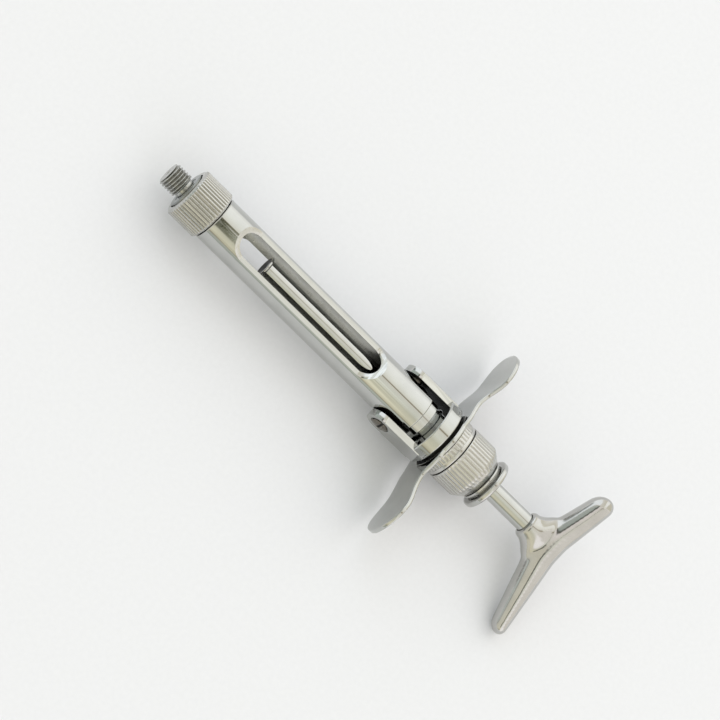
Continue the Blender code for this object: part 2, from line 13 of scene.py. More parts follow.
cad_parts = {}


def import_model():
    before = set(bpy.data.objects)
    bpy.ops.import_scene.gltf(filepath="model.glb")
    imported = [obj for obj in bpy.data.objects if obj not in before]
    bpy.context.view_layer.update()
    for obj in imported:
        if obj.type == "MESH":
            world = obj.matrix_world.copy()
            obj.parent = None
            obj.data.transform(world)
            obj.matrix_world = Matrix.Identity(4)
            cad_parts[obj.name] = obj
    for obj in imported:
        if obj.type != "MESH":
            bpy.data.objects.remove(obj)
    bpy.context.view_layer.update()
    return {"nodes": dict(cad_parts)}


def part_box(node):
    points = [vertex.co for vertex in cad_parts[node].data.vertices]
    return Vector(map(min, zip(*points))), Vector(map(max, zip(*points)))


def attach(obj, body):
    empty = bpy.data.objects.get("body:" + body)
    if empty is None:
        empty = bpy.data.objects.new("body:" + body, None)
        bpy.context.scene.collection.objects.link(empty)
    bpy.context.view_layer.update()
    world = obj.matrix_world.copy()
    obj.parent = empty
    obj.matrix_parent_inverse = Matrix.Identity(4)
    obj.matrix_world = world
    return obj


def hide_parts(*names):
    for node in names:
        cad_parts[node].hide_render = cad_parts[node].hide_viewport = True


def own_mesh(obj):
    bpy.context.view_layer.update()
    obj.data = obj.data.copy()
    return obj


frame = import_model()

MM = 0.001
SCENE = bpy.context.scene

# ---- the syringe's axis, from the barrel's box -----------------------------------------------
FRONT_SPIGOT_END = 63.2
barrel_low, barrel_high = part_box("barrel")
AXIS_X = barrel_high[0] - FRONT_SPIGOT_END * MM
AXIS_Z = (barrel_low[2] + barrel_high[2]) / 2
HANDLE_ROLL = math.radians(-17)

# ---- camera ----------------------------------------------------------------------------------
CAMERA_LEAN = math.radians(14.71)
CAMERA_TILT = math.radians(19.26)
CAMERA_TURN = math.radians(224.46)
CAMERA_DISTANCE = 0.6238
CAMERA_LENS = 140.265
CAMERA_SENSOR = 36
CAMERA_SHIFT = (-0.0554, 0.0556)
CAMERA_CLIP = (0.01, 50)


def add_camera():
    """The camera looks steeply down on the syringe, which runs across the frame."""
    back = Vector((math.sin(CAMERA_LEAN), math.cos(CAMERA_LEAN) * math.sin(CAMERA_TILT),
                   math.cos(CAMERA_LEAN) * math.cos(CAMERA_TILT)))
    along = (Vector((1, 0, 0)) - back * back.x).normalized()
    across = back.cross(along)
    right = along * math.cos(CAMERA_TURN) + across * math.sin(CAMERA_TURN)
    up = -along * math.sin(CAMERA_TURN) + across * math.cos(CAMERA_TURN)
    camera = bpy.data.objects.new("camera", bpy.data.cameras.new("camera"))
    camera.data.sensor_width = CAMERA_SENSOR
    camera.data.lens = CAMERA_LENS
    camera.data.shift_x, camera.data.shift_y = CAMERA_SHIFT
    camera.data.clip_start, camera.data.clip_end = CAMERA_CLIP
    pivot = Vector((AXIS_X, 0, AXIS_Z))
    turned = Matrix((right, up, back)).transposed().to_4x4()
    camera.matrix_world = Matrix.Translation(pivot + back * CAMERA_DISTANCE) @ turned
    SCENE.collection.objects.link(camera)
    SCENE.camera = camera


# ---- node helpers ----------------------------------------------------------------------------
class Nodes:
    """Short names for building a node tree. A value is another node's socket or a constant."""

    def __init__(self, tree):
        self.tree = tree

    def add(self, kind, **settings):
        node = self.tree.nodes.new(kind)
        for key, value in settings.items():
            setattr(node, key, value)
        return node

    def link(self, source, target):
        self.tree.links.new(source, target)

    def feed(self, value, socket):
        if hasattr(value, "is_linked"):
            self.link(value, socket)
        else:
            socket.default_value = value

    def place(self):
        return self.add("ShaderNodeTexCoord").outputs["Object"]

    def math(self, operation, *values):
        node = self.add("ShaderNodeMath", operation=operation)
        for value, socket in zip(values, node.inputs):
            self.feed(value, socket)
        return node.outputs[0]

    def noise(self, vector, scale, detail, rough=0.5):
        node = self.add("ShaderNodeTexNoise")
        node.inputs["Scale"].default_value = scale
        node.inputs["Detail"].default_value = detail
        node.inputs["Roughness"].default_value = rough
        self.link(vector, node.inputs["Vector"])
        return node.outputs[0]

    def stretched(self, vector, scale):
        node = self.add("ShaderNodeMapping")
        node.inputs["Scale"].default_value = scale
        self.link(vector, node.inputs["Vector"])
        return node.outputs[0]

    def ramp(self, value, stops):
        """A colour ramp; each stop is a position and a grey or a colour."""
        node = self.add("ShaderNodeValToRGB")
        elements = node.color_ramp.elements
        while len(elements) < len(stops):
            elements.new(0.5)
        for element, (position, colour) in zip(elements, stops):
            if not isinstance(colour, tuple):
                colour = (colour, colour, colour)
            element.position = position
            element.color = (*colour, 1)
        self.link(value, node.inputs[0])
        return node.outputs[0]

    def mix(self, factor, first, second):
        """A mix of two colours, which have sockets of their own on a Mix node."""
        node = self.add("ShaderNodeMix", data_type="RGBA")
        for value, number in ((factor, 0), (first, 6), (second, 7)):
            self.feed(value, node.inputs[number])
        return node.outputs[2]

    def bump(self, height, strength, distance, shader):
        node = self.add("ShaderNodeBump")
        node.inputs["Strength"].default_value = strength
        node.inputs["Distance"].default_value = distance
        self.link(height, node.inputs["Height"])
        self.link(node.outputs[0], shader.inputs["Normal"])


# ---- materials -------------------------------------------------------------------------------
CLOUD_SCALE = 260
PEEL_SCALE = 1900
EDGE_GAIN = 1.15        # how much brighter a worn edge is
GROOVE_ROUGH = 0.18     # how much rougher the bottom of a groove is
HAIR_SHARE = 0.6        # of the bump, the part that is hairlines and not peel
METAL_BUMP = 0.0002


def new_material(name):
    material = bpy.data.materials.new(name)
    material.use_nodes = True
    return material, Nodes(material.node_tree), material.node_tree.nodes["Principled BSDF"]


def metal(name, colour, dull, shine, wipe, groove=None, grain=0.02, worn=True):
    """Polished plated metal: hairlines, wiping marks, fine orange peel and brighter worn edges.

    dull is the tint of its clouds, shine the pair of roughness values between which it varies,
    wipe how finely the hairlines are drawn along each axis, groove the painted shade colour
    that darkens a knurl's grooves by their depth, grain the strength of its bump, and worn
    whether its edges are brighter.
    """
    material, nodes, shader = new_material(name)
    place = nodes.place()
    clouds = nodes.noise(place, CLOUD_SCALE, 4)
    hairs = nodes.noise(nodes.stretched(place, wipe), 1.0, 2, 0.6)
    peel = nodes.noise(place, PEEL_SCALE, 2)
    base = nodes.mix(nodes.ramp(clouds, [(0.38, 0.0), (0.68, 1.0)]), (*colour, 1), (*dull, 1))
    if worn:
        edge = nodes.add("ShaderNodeNewGeometry").outputs["Pointiness"]
        bright = tuple(min(1.0, value * EDGE_GAIN) for value in colour)
        base = nodes.mix(nodes.ramp(edge, [(0.53, 0.0), (0.64, 1.0)]), base, (*bright, 1))
    low, high = shine
    streaks = nodes.ramp(hairs, [(0.35, 0.0), (0.75, 1.0)])
    rough = nodes.math("MULTIPLY_ADD", streaks, high - low, low)
    # Painted shade: each groove is darkened towards the groove colour by its depth.
    if groove:
        depth = nodes.add("ShaderNodeAttribute", attribute_name="groove").outputs["Fac"]
        base = nodes.mix(depth, base, (*groove, 1))
        rough = nodes.math("ADD", rough, nodes.math("MULTIPLY", depth, GROOVE_ROUGH))
    nodes.link(base, shader.inputs["Base Color"])
    nodes.link(rough, shader.inputs["Roughness"])
    shader.inputs["Metallic"].default_value = 1.0
    height = nodes.math("ADD", nodes.math("MULTIPLY", hairs, HAIR_SHARE),
                        nodes.math("MULTIPLY", peel, 1 - HAIR_SHARE))
    nodes.bump(height, grain, METAL_BUMP, shader)
    return material


def rubber(name):
    """Black rubber with a fine matt grain."""
    material, nodes, shader = new_material(name)
    grain = nodes.noise(nodes.place(), 5200, 4)
    nodes.link(nodes.ramp(grain, [(0.3, (0.012, 0.012, 0.013)), (0.8, (0.035, 0.034, 0.033))]),
               shader.inputs["Base Color"])
    nodes.link(nodes.ramp(grain, [(0.2, 0.5), (0.8, 0.72)]), shader.inputs["Roughness"])
    nodes.bump(grain, 0.2, 0.0001, shader)
    return material


CHROME = metal("polished_chrome", (0.505, 0.51, 0.495), (0.475, 0.48, 0.465),
               shine=(0.03, 0.10), wipe=(300, 4200, 4200), grain=0.008)
BORE = metal("bored_chrome", (0.62, 0.62, 0.585), (0.56, 0.56, 0.53),
             shine=(0.26, 0.4), wipe=(5200, 700, 700), grain=0.05, worn=False)
TURNED = metal("turned_chrome", (0.505, 0.505, 0.49), (0.47, 0.47, 0.455),
               shine=(0.04, 0.12), wipe=(6500, 500, 500))
# The groove colours of the next three materials are painted shade in the grooves of the knurls and
# the thread.
KNURLED = metal("knurled_chrome", (0.54, 0.535, 0.515), (0.50, 0.495, 0.475),
                shine=(0.12, 0.24), wipe=(3000, 900, 900), groove=(0.27, 0.26, 0.225), grain=0.05)
NUT = metal("knurled_nut", (0.54, 0.535, 0.515), (0.50, 0.495, 0.475),
            shine=(0.12, 0.24), wipe=(3000, 900, 900), groove=(0.40, 0.39, 0.36), grain=0.05)
THREAD = metal("thread_chrome", (0.44, 0.445, 0.43), (0.36, 0.36, 0.345),
               shine=(0.14, 0.30), wipe=(2600, 2600, 2600), groove=(0.29, 0.285, 0.265), grain=0.08)
MILLED = metal("milled_chrome", (0.60, 0.60, 0.59), (0.55, 0.55, 0.54),
               shine=(0.16, 0.28), wipe=(700, 3600, 700), grain=0.03, worn=False)
# Painted shade: a dark grey-green that stands in for the shade on the adaptor's front face and on
# the guide's nose.
SHADED_FACE = metal("turned_face_painted_shade", (0.30, 0.315, 0.31), (0.25, 0.265, 0.26),
             shine=(0.14, 0.28), wipe=(600, 5200, 5200), grain=0.06)
HANDLE = metal("cast_chrome", (0.505, 0.50, 0.485), (0.47, 0.465, 0.45),
               shine=(0.09, 0.17), wipe=(900, 2400, 2400), grain=0.03, worn=False)
SCREW = metal("screw_steel", (0.22, 0.20, 0.17), (0.15, 0.135, 0.115),
              shine=(0.22, 0.4), wipe=(2600, 2600, 600), grain=0.1)
# Painted shade: a near-black metal for the shank seen in the gaps, the arms' inner faces, the screw
# slots and the tip's hollow face.
SHADE_BLACK = metal("painted_shade_black", (0.030, 0.030, 0.028), (0.018, 0.018, 0.016),
              shine=(0.35, 0.55), wipe=(2600, 2600, 2600), grain=0.1, worn=False)
SPRING = metal("spring_wire", (0.46, 0.45, 0.43), (0.36, 0.35, 0.33),
               shine=(0.2, 0.38), wipe=(2200, 2200, 2200), grain=0.06, worn=False)
RUBBER = rubber("seal_rubber")


# ---- outlines --------------------------------------------------------------------------------
NEARLY_STRAIGHT = math.radians(176)
CORNER_SHARE = 0.48     # of a run, the most that one corner's arc takes up
TINY = 1e-6
LONG_RUN = 0.5
HOLD_INSET = 0.06
PATTERN_R = 5.6         # the least radius at which a run is divided for a pattern
BEYOND = 8              # how far from the axis a cutter reaches


def world(u, y, z, roll=0.0):
    """The world point of a place in the syringe's frame, turned about the axis by roll."""
    turned_y = y * math.cos(roll) - z * math.sin(roll)
    turned_z = y * math.sin(roll) + z * math.cos(roll)
    return AXIS_X + u * MM, turned_y * MM, AXIS_Z + turned_z * MM


def circle(sides):
    """The cosine and sine of evenly spaced angles round a full turn."""
    angles = [math.tau * k / sides for k in range(sides)]
    return [(math.cos(angle), math.sin(angle)) for angle in angles]


def span(side, near, far):
    """Two distances from the middle, on one side of it, the lower one first."""
    return sorted((side * near, side * far))


def between(first, last, share):
    return tuple(a + (b - a) * share for a, b in zip(first, last))


def clamp(value):
    return max(0.0, min(1.0, value))


def smooth_step(value):
    value = clamp(value)
    return value * value * (3 - 2 * value)


def arc_corner(before, corner, after, radius, segments):
    """Points that round one corner of an outline."""
    here, first, last = Vector(corner), Vector(before), Vector(after)
    back, ahead = first - here, last - here
    if radius <= 0 or back.length < TINY or ahead.length < TINY:
        return [tuple(here)]
    back_dir, ahead_dir = back.normalized(), ahead.normalized()
    opening = back_dir.angle(ahead_dir)
    if opening > NEARLY_STRAIGHT:
        return [tuple(here)]
    reach = min(radius / math.tan(opening / 2), back.length * CORNER_SHARE,
                ahead.length * CORNER_SHARE)
    radius = reach * math.tan(opening / 2)
    middle = here + (back_dir + ahead_dir).normalized() * radius / math.sin(opening / 2)
    start, end = here + back_dir * reach - middle, here + ahead_dir * reach - middle
    sweep = start.angle(end)
    if sweep < TINY:
        return [tuple(middle + start)] * (segments + 1)
    points = []
    for i in range(segments + 1):
        share = i / segments
        near = math.sin((1 - share) * sweep) / math.sin(sweep)
        far = math.sin(share * sweep) / math.sin(sweep)
        points.append(tuple(middle + start * near + end * far))
    return points


def rounded(outline, radius, closed=True, segments=4):
    """An outline with each corner rounded, except the ends of an open one."""
    count = len(outline)
    result = []
    for i, point in enumerate(outline):
        if not closed and i in (0, count - 1):
            result.append(tuple(point[:2]))
            continue
        own = point[2] if len(point) > 2 else radius
        after = outline[(i + 1) % count]
        result += arc_corner(outline[i - 1][:2], point[:2], after[:2], own, segments)
    return result


def held(profile, closed):
    """A profile with extra points close to the ends of its long runs, which keep them straight."""
    result = []
    count = len(profile)
    for i, point in enumerate(profile):
        result.append(point)
        after = profile[(i + 1) % count]
        length = math.dist(point, after)
        if length < LONG_RUN or (not closed and i == count - 1):
            continue
        for share in (HOLD_INSET / length, 1 - HOLD_INSET / length):
            result.append(between(point, after, share))
    return result


def dense(profile, most):
    """A profile whose long outer runs are divided so that a surface pattern can follow them."""
    result = []
    count = len(profile)
    for i, point in enumerate(profile):
        result.append(point)
        after = profile[(i + 1) % count]
        length = math.dist(point, after)
        if length < most * 1.5 or min(point[1], after[1]) < PATTERN_R:
            continue
        pieces = int(length / most)
        result += [between(point, after, k / pieces) for k in range(1, pieces)]
    return result


# ---- meshes ----------------------------------------------------------------------------------
def new_object(name, points, faces, depths=None):
    """A mesh object with outward normals. A patterned one keeps all its points and has the depth
    of each, from 0 to 1, in the attribute groove, which the material reads."""
    mesh = bpy.data.meshes.new(name)
    mesh.from_pydata(points, [], faces)
    if depths:
        groove = mesh.attributes.new("groove", "FLOAT", "POINT")
        groove.data.foreach_set("value", depths)
    shape = bmesh.new()
    shape.from_mesh(mesh)
    if not depths:
        bmesh.ops.remove_doubles(shape, verts=shape.verts, dist=1e-7)
    bmesh.ops.recalc_face_normals(shape, faces=shape.faces)
    shape.to_mesh(mesh)
    shape.free()
    obj = bpy.data.objects.new(name, mesh)
    SCENE.collection.objects.link(obj)
    return obj


def spun(name, profile, sides, pattern=None, closed=True, roll=0.0):
    """A turned piece from (u, radius) points. pattern(u, radius, angle) returns the radius and
    the depth below the crest."""
    points, faces, depths = [], [], []
    profile = held(profile, closed)
    for u, radius in profile:
        for k in range(sides):
            angle = math.tau * k / sides
            reach, depth = pattern(u, radius, angle) if pattern else (radius, 0.0)
            points.append(world(u, reach * math.cos(angle), reach * math.sin(angle), roll))
            depths.append(depth)
    rows = len(profile)
    for i in range(rows if closed else rows - 1):
        below, above = i * sides, (i + 1) % rows * sides
        for k in range(sides):
            after = (k + 1) % sides
            faces.append((below + k, below + after, above + after, above + k))
    return new_object(name, points, faces, depths if pattern else None)


def fill_ends(obj):
    """Close the open ends of a turned piece."""
    shape = bmesh.new()
    shape.from_mesh(obj.data)
    bmesh.ops.holes_fill(shape, edges=[edge for edge in shape.edges if edge.is_boundary])
    bmesh.ops.recalc_face_normals(shape, faces=shape.faces)
    shape.to_mesh(obj.data)
    shape.free()


def loft(name, rings):
    """A closed solid through rings of world points, capped at both ends."""
    count = len(rings[0])
    points = [point for ring in rings for point in ring]
    faces = [tuple(range(count)), tuple(range(len(points) - count, len(points)))]
    for i in range(len(rings) - 1):
        low, high = i * count, (i + 1) * count
        for k in range(count):
            after = (k + 1) % count
            faces.append((low + k, low + after, high + after, high + k))
    return new_object(name, points, faces)


def block(name, low, high):
    """A box between two corners in the syringe's frame."""
    rings = []
    for u in (low[0], high[0]):
        rings.append([world(u, low[1], low[2]), world(u, high[1], low[2]),
                      world(u, high[1], high[2]), world(u, low[1], high[2])])
    return loft(name, rings)


def cross_cylinder(name, radius, low, high, sides=64):
    """A solid cylinder along y between two distances from the axis."""
    return loft(name, [[world(radius * cosine, y, radius * sine) for cosine, sine in circle(sides)]
                       for y in (low, high)])


def apply_all(obj):
    """Turn an object's modifiers into its mesh."""
    graph = bpy.context.evaluated_depsgraph_get()
    mesh = bpy.data.meshes.new_from_object(obj.evaluated_get(graph))
    obj.modifiers.clear()
    obj.data = mesh


def combine(obj, other, operation):
    """Add or cut with another object, which is used up."""
    step = obj.modifiers.new("combine", "BOOLEAN")
    step.operation = operation
    step.solver = "EXACT"
    step.object = other
    apply_all(obj)
    bpy.data.objects.remove(other, do_unlink=True)


def soften(obj, width, segments, angle=28):
    """Round every edge that is sharper than the angle."""
    step = obj.modifiers.new("soften", "BEVEL")
    step.width = width * MM
    step.segments = segments
    step.limit_method = "ANGLE"
    step.angle_limit = math.radians(angle)
    step.use_clamp_overlap = True
    step.miter_outer = "MITER_ARC"
    step.harden_normals = False
    apply_all(obj)


def show(obj, body, material, node, angle=40, even=False):
    """Shade a piece, let it ride on its body and stand for its CAD node. even keeps the shading
    of large faces true where they meet the narrow faces of a rounded edge."""
    obj.data.shade_smooth()
    obj.data.set_sharp_from_angle(angle=math.radians(angle))
    if even:
        step = obj.modifiers.new("even", "WEIGHTED_NORMAL")
        step.mode = "FACE_AREA"
        step.weight = 100
        step.keep_sharp = True
        apply_all(obj)
    obj.data.materials.clear()
    obj.data.materials.append(material)
    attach(obj, body)
    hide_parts(node)


def paint(obj, material, test):
    """Give another material to the faces whose middle (u, y, z) passes a test."""
    obj.data.materials.append(material)
    number = len(obj.data.materials) - 1
    for face in obj.data.polygons:
        x, y, z = face.center
        if test((x - AXIS_X) / MM, y / MM, (z - AXIS_Z) / MM):
            face.material_index = number


# ---- surface patterns ------------------------------------------------------------------------
def ribs(count, depth, start, end, fade, flat):
    """A straight knurl between two stations: rounded ribs with narrow grooves between them."""
    def pattern(u, radius, angle):
        inside = smooth_step((u - start) / fade) * smooth_step((end - u) / fade)
        wave = 0.5 - 0.5 * math.cos(angle * count)
        groove = max(0.0, (wave - flat) / (1 - flat)) ** 0.8 * inside
        return radius - depth * groove, groove
    return pattern


def outside(limit, pattern):
    """A pattern that leaves everything nearer the axis than a limit plain."""
    def outer(u, radius, angle):
        return pattern(u, radius, angle) if radius > limit else (radius, 0.0)
    return outer


# ---- barrel ----------------------------------------------------------------------------------
BARREL_R = 5.6
BORE_R = 4.75
MOUTH_R = 4.05
MOUTH_REAR = 59.6
BARREL_FRONT = 58.5
BARREL_REAR = -4.9
SPIGOT_R = 5.0
REAR_SPIGOT_END = -7.0
CHAMBER_REAR = 6
WINDOW = (9.75, 51.4)
WINDOW_HALF = 3.1
WINDOW_FLAT = 3.7
LIP_RUN = 1.45
MILL_R = 5.4
MILL_OVER = 0.3
NOTCH_FROM = 4.3
NOTCH_FRONT = -2.9


def slot_ring(height, steps=48):
    """The window's outline, a slot with round ends, at a height above the axis."""
    points = []
    for centre, start in ((WINDOW[1] - WINDOW_HALF, -0.5), (WINDOW[0] + WINDOW_HALF, 0.5)):
        for i in range(steps + 1):
            angle = math.pi * (start + i / steps)
            points.append(world(centre + WINDOW_HALF * math.cos(angle),
                                WINDOW_HALF * math.sin(angle), height))
    return points


def milled_flat(side, steps=20):
    """The flat along a window, cut with a round mill so that it rises in a curve at each end."""
    full = math.sqrt(2 * MILL_R * (BARREL_R + MILL_OVER - WINDOW_FLAT))
    lip = math.sqrt(2 * MILL_R * (BARREL_R - WINDOW_FLAT))
    rear, front = WINDOW[0] - LIP_RUN + lip, WINDOW[1] + LIP_RUN - lip
    curve = [(full * i / steps, WINDOW_FLAT + (full * i / steps) ** 2 / (2 * MILL_R))
             for i in range(steps + 1)]
    outline = [(rear - reach, height) for reach, height in reversed(curve)]
    outline += [(front + reach, height) for reach, height in curve]
    rings = [[world(u, y, side * z) for u, z in outline] for y in (-BEYOND, BEYOND)]
    return loft("milled_flat", rings)


def make_barrel():
    """A tube with two opposed windows, a spigot at each end and a notch for each fork arm."""
    outline = [(FRONT_SPIGOT_END, SPIGOT_R), (BARREL_FRONT, SPIGOT_R), (BARREL_FRONT, BARREL_R, 0.3),
               (BARREL_REAR, BARREL_R, 0.5), (BARREL_REAR, SPIGOT_R + 0.1, 0.05),
               (REAR_SPIGOT_END, SPIGOT_R, 0.2), (REAR_SPIGOT_END, BORE_R), (MOUTH_REAR, BORE_R),
               (MOUTH_REAR, MOUTH_R), (FRONT_SPIGOT_END, MOUTH_R)]
    barrel = spun("barrel_shell", rounded(outline, 0.12, segments=6), 192)
    for side in (1, -1):
        combine(barrel, milled_flat(side), "DIFFERENCE")
    combine(barrel, loft("window", [slot_ring(-BEYOND), slot_ring(BEYOND)]), "DIFFERENCE")
    for side in (1, -1):
        low, high = span(side, NOTCH_FROM, BEYOND)
        notch = block("notch", (REAR_SPIGOT_END - 2, low, -BEYOND), (NOTCH_FRONT, high, BEYOND))
        combine(barrel, notch, "DIFFERENCE")
    soften(barrel, 0.18, segments=4, angle=24)
    show(barrel, "frame", CHROME, "barrel", even=True)
    paint(barrel, BORE, lambda u, y, z: math.hypot(y, z) < BORE_R + 0.12 and u > CHAMBER_REAR)
    paint(barrel, MILLED, lambda u, y, z: WINDOW[1] - 3 < u < WINDOW[1] + LIP_RUN
          and abs(z) > WINDOW_FLAT + 0.02 and math.hypot(y, z) < BARREL_R - 0.04)


# ---- needle adaptor and collar ---------------------------------------------------------------
STUD_TIP = 72.45
STUD_R = 3.0
STUD_NECK_R = 2.42
STUD_BORE_R = 0.6
ADAPTOR_FACE = 67.2
BOSS_R = 4.55
FLANGE = (63.5, 65.3)
FLANGE_R = 5.1
NIB = (61.2, 1.6, 2.0)          # its end, and its radius there and at the flange
THREAD_REAR = ADAPTOR_FACE + 1.1
THREAD_FRONT = STUD_TIP - 0.45
THREAD_RUN_OUT = 0.3
THREAD_ROWS = 60
THREAD_DEPTH = 0.46
THREAD_ROOT = 0.08              # of the pitch, the part that is the flat root
THREAD_FLANK = 0.80             # and the part that slopes
PITCH = 0.75
COLLAR = (58.85, 66.8)
COLLAR_R = 6.27
COLLAR_BORE_R = 5.4
COLLAR_LIP = (65.6, 4.85)       # where the lip over the flange starts, and its radius
COLLAR_RIBS = 48


def thread(u, radius, angle):
    """A single thread that runs out at its rear end. It is left-hand, where the real stud's is
    right-hand."""
    if radius < STUD_NECK_R + 0.3 or u < THREAD_REAR - 0.01:
        return radius, 0.0
    phase = (u / PITCH + angle / math.tau) % 1.0
    flank = abs(2 * phase - 1)
    depth = THREAD_DEPTH * (1 - clamp((flank - THREAD_ROOT) / THREAD_FLANK))
    cut = depth * smooth_step((u - THREAD_REAR) / THREAD_RUN_OUT)
    return max(radius - cut, STUD_NECK_R - 0.02), min(1.0, cut / THREAD_DEPTH) ** 1.5


def make_adaptor():
    """The stud for the needle hub, with its boss, flange and nib, bored through."""
    nib_end, nib_end_r, nib_r = NIB
    rows = [(STUD_TIP, STUD_R - 0.5), (STUD_TIP - 0.1, STUD_R - 0.35),
            (STUD_TIP - 0.25, STUD_R - 0.18), (THREAD_FRONT, STUD_R)]
    for i in range(1, THREAD_ROWS + 1):
        rows.append((THREAD_FRONT + (THREAD_REAR - THREAD_FRONT) * i / THREAD_ROWS, STUD_R))
    outline = [(THREAD_REAR, STUD_NECK_R + 0.25), (THREAD_REAR - 0.25, STUD_NECK_R, 0.05),
               (ADAPTOR_FACE - 0.15, STUD_NECK_R, 0.03), (ADAPTOR_FACE - 0.15, STUD_R + 0.15),
               (ADAPTOR_FACE, STUD_R + 0.15, 0.06), (ADAPTOR_FACE, BOSS_R, 0.22),
               (FLANGE[1], BOSS_R), (FLANGE[1], FLANGE_R), (FLANGE[0], FLANGE_R),
               (FLANGE[0], nib_r), (nib_end, nib_end_r), (nib_end, STUD_BORE_R),
               (STUD_TIP, STUD_BORE_R, 0.15), (STUD_TIP, STUD_R - 0.5, 0.1)]
    adaptor = spun("adaptor_stud", rows + rounded(outline, 0.08, False), 96, thread)
    show(adaptor, "adaptor", THREAD, "needle_adaptor", angle=50)
    # Painted shade: the boss's front face takes the dark grey-green material.
    paint(adaptor, SHADED_FACE, lambda u, y, z: ADAPTOR_FACE - 0.3 < u < ADAPTOR_FACE + 0.05
          and math.hypot(y, z) > STUD_NECK_R)


def make_collar():
    """The knurled collar that clamps the adaptor's flange to the barrel."""
    rear, front = COLLAR
    lip, lip_r = COLLAR_LIP
    outline = [(front, COLLAR_R - 0.62, 0.15), (front - 0.55, COLLAR_R, 0.2),
               (front - 0.9, COLLAR_R, 0), (rear + 0.75, COLLAR_R, 0), (rear + 0.3, COLLAR_R, 0.1),
               (rear, COLLAR_R - 0.3, 0.08), (rear, COLLAR_BORE_R), (lip, COLLAR_BORE_R),
               (lip, lip_r), (front, lip_r, 0.12)]
    knurl = ribs(COLLAR_RIBS, 0.17, rear + 0.12, front - 0.3, fade=0.4, flat=0.35)
    collar = spun("collar_knurl", dense(rounded(outline, 0.1), 0.3), 480, outside(5.9, knurl))
    show(collar, "collar", KNURLED, "front_collar", angle=50)


# ---- fork and screws -------------------------------------------------------------------------
ARM = (5.85, 7.5)
ARM_HALF = 3.5
ARM_REAR = -10.4
FORK_R = 8.05
FORK = (-11.95, -8.5)
FORK_BORE_R = 4.75
SHANK_END = -22.6
SHANK_R = 6.4
SHANK_BORE = (-10, 5.6)         # its front end and its radius
FORK_CLEAR = 12
SCREW_SEAT = 6.9
SCREW_SEAT_R = 2.4
SCREW_HOLE_R = 1.8
SCREW_TOP = 7.95
SCREW_HEAD_R = 2.1
SCREW_R = 1.5
SCREW_END = 4.95
SCREW_SLOT = (4, 0.3, 0.5)      # half its length, half its width, and its depth


def fork_arm(side, steps=40):
    """One arm, a flat bar along the barrel with a round end about the pivot."""
    rings = []
    for level in ARM:
        ring = []
        for i in range(steps + 1):
            angle = math.pi * (i / steps - 0.5)
            ring.append(world(ARM_HALF * math.cos(angle), side * level, ARM_HALF * math.sin(angle)))
        ring.append(world(ARM_REAR, side * level, ARM_HALF))
        ring.append(world(ARM_REAR, side * level, -ARM_HALF))
        rings.append(ring)
    return loft("arm", rings)


def make_fork():
    """A ring with two arms and, behind it, the hollow shank that holds the spring."""
    rear, front = FORK
    bore_front, bore_r = SHANK_BORE
    outline = [(front, FORK_R, 0.35), (rear, FORK_R, 0.3), (rear, SHANK_R), (SHANK_END, SHANK_R),
               (SHANK_END, bore_r), (bore_front, bore_r), (bore_front, FORK_BORE_R),
               (front, FORK_BORE_R, 0.25)]
    fork = spun("fork_ring", rounded(outline, 0.12, segments=6), 192)
    for side in (1, -1):
        combine(fork, fork_arm(side), "UNION")
        low, high = span(side, ARM[1], FORK_CLEAR)
        flat = block("flat", (rear - 2, low, -FORK_CLEAR), (front + 14, high, FORK_CLEAR))
        combine(fork, flat, "DIFFERENCE")
        seat = cross_cylinder("seat", SCREW_SEAT_R, *span(side, SCREW_SEAT, FORK_CLEAR))
        combine(fork, seat, "DIFFERENCE")
        combine(fork, cross_cylinder("hole", SCREW_HOLE_R, *span(side, 4, 9)), "DIFFERENCE")
    soften(fork, 0.2, segments=3, angle=25)
    show(fork, "frame", CHROME, "fork", even=True)
    # Painted shade: the shank and the ring's rear face, seen through the gaps beside the finger
    # plate, and the arms' inner faces beside the barrel take the near-black material.
    paint(fork, SHADE_BLACK, lambda u, y, z: (math.hypot(y, z) < 7.6 and u < rear + 0.1)
          or (abs(y) < ARM[0] + 0.02 and abs(z) < ARM_HALF - 0.1 and u > front + 0.05))


def screw_slot(side, turn):
    """The cutter for a slot across a screw's head, turned about the screw's axis."""
    reach, half, depth = SCREW_SLOT
    rings = []
    for y in (SCREW_TOP - depth, SCREW_TOP + 1):
        ring = []
        for along, over in ((-reach, -half), (reach, -half), (reach, half), (-reach, half)):
            ring.append(world(along * math.cos(turn) - over * math.sin(turn), side * y,
                              along * math.sin(turn) + over * math.cos(turn)))
        rings.append(ring)
    return loft("slot", rings)


def make_screw(name, side, turn):
    """A pivot screw with a domed head in its seat."""
    under = SCREW_SEAT + 0.3
    outline = [(SCREW_TOP, 0.02), (SCREW_TOP - 0.06, 1.2, 1.0),
               (SCREW_TOP - 0.28, SCREW_HEAD_R, 0.1), (under, SCREW_HEAD_R), (under, SCREW_R),
               (SCREW_END, SCREW_R), (SCREW_END, 0.02)]
    rings = [[world(radius * cosine, side * y, radius * sine) for cosine, sine in circle(72)]
             for y, radius in rounded(outline, 0.06, False)]
    screw = loft("screw_" + name, rings)
    combine(screw, screw_slot(side, turn), "DIFFERENCE")
    soften(screw, 0.05, segments=2)
    show(screw, "frame", SCREW, "pivot_screw_" + name, even=True)
    # Painted shade: the slot's floor and walls take the near-black material.
    paint(screw, SHADE_BLACK, lambda u, y, z: SCREW_TOP - 0.55 < abs(y) < SCREW_TOP - 0.3
          and math.hypot(u, z) < SCREW_HEAD_R - 0.1)


# ---- finger grip, lock ring and rear cap -----------------------------------------------------
GRIP = (-13.9, -12.75)
GRIP_R = 8.15
GRIP_HOLE_R = 6.7
GRIP_HALF_THICK = 0.515
GRIP_EDGE = 0.3
WING_SPAN = 26.5
WING_HALF = 5.5
WING_TIP = 6.8
